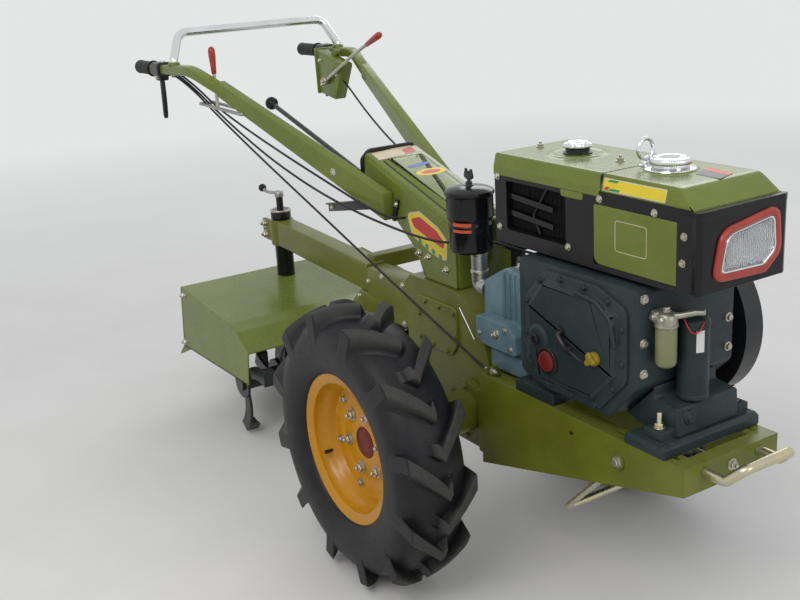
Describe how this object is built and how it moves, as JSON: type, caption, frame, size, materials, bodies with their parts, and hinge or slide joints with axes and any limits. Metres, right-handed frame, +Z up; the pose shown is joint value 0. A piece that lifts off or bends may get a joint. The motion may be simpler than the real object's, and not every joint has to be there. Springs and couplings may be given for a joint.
{
  "type": "walking tractor",
  "caption": "Two-wheeled walking tractor with a front diesel engine, long handlebars, a rear rotary tiller and a tail wheel.",
  "frame": {"origin": "on the floor, in the middle plane, straight under the wheel axle", "axes": "+X forward, +Y to the operator's left, +Z up"},
  "size_m": [2.2393, 0.929, 1.1785],
  "materials": {
    "green_paint": "gloss",
    "dark_paint": "satin",
    "engine_paint": "satin",
    "head_paint": "satin",
    "rim_paint": "gloss",
    "hub_paint": "satin",
    "black_paint": "gloss",
    "red_paint": "gloss",
    "zinc": "satin",
    "chrome": "polished",
    "bare_steel": "satin",
    "tyre": "matt",
    "rubber": "matt",
    "black_plastic": "satin",
    "lens": "clear",
    "bowl": "translucent"
  },
  "bodies": {
    "chassis": {"front_frame": "green_paint", "bumper": "zinc", "gearbox": "green_paint", "crankcase": "engine_paint", "gear_cover": "engine_paint", "engine_plugs": "black_plastic", "cylinder_head": "head_paint", "engine_feet": "engine_paint", "side_canister": "dark_paint", "filter_head": "bare_steel", "filter_bowl": "bowl", "drive_belts": "rubber", "radiator_cover": "green_paint", "radiator": "black_paint", "fuel_tank": "green_paint", "fascia": "black_plastic", "lamp_surround": "red_paint", "lamp_lens": "lens", "radiator_cap": "chrome", "fuel_cap": "chrome", "lifting_eye": "bare_steel", "air_cleaner": "black_paint", "intake_pipe": "dark_paint", "muffler": "dark_paint", "console": "green_paint", "handlebar_right": "green_paint", "handlebar_left": "green_paint", "grip_right": "rubber", "grip_left": "rubber", "handrail": "chrome", "steering_lever_right": "dark_paint", "steering_lever_left": "dark_paint", "lever_bracket": "dark_paint", "hand_lever_left": "red_paint", "hand_lever_right": "red_paint", "gear_lever": "bare_steel", "pto_lever": "dark_paint", "tiller_arm": "green_paint", "tiller_case": "green_paint", "tiller_cover": "green_paint", "depth_post": "dark_paint", "post_crank": "bare_steel", "cable_steering": "rubber", "cable_throttle": "rubber", "cable_clutch": "rubber", "cable_left": "rubber"},
    "wheel_right": {"hub_right": "hub_paint", "rim_right": "rim_paint", "tyre_right": "tyre"},
    "wheel_left": {"hub_left": "hub_paint", "rim_left": "rim_paint", "tyre_left": "tyre"},
    "flywheel_body": {"flywheel": "dark_paint"},
    "clutch": {"clutch_pulley": "dark_paint"},
    "stand": {"front_stand": "zinc"},
    "tine_rotor": {"rotor": "black_paint"},
    "tail_slide": {"tail_stem": "dark_paint"},
    "tail_roller": {"tail_wheel": "black_paint"}
  },
  "joints": [
    {"name": "wheel_right_spin", "type": "hinge", "parent": "chassis", "child": "wheel_right", "pos_m": [0, -0.38, 0.323], "axis": [0, 1, 0], "continuous": true},
    {"name": "wheel_left_spin", "type": "hinge", "parent": "chassis", "child": "wheel_left", "pos_m": [0, 0.38, 0.323], "axis": [0, 1, 0], "continuous": true},
    {"name": "flywheel_spin", "type": "hinge", "parent": "chassis", "child": "flywheel_body", "pos_m": [0.409, 0.184, 0.6], "axis": [0, 1, 0], "continuous": true},
    {"name": "clutch_spin", "type": "hinge", "parent": "chassis", "child": "clutch", "pos_m": [-0.06, 0.237, 0.505], "axis": [0, 1, 0], "continuous": true},
    {"name": "stand_swing", "type": "hinge", "parent": "chassis", "child": "stand", "pos_m": [0.53, 0, 0.399], "axis": [0, -1, 0], "range_deg": [0, 60]},
    {"name": "rotor_spin", "type": "hinge", "parent": "chassis", "child": "tine_rotor", "pos_m": [-0.862, 0, 0.176], "axis": [0, 1, 0], "continuous": true},
    {"name": "tail_height", "type": "slide", "parent": "chassis", "child": "tail_slide", "axis": [0, 0, 1], "range_m": [-0.1, 0.05]},
    {"name": "tail_wheel_spin", "type": "hinge", "parent": "tail_slide", "child": "tail_roller", "pos_m": [-1.166, 0, 0.084], "axis": [0, 1, 0], "continuous": true}
  ],
  "couplings": [
    {"joint": "clutch_spin", "follows": "flywheel_spin", "ratio": 0.5345}
  ]
}
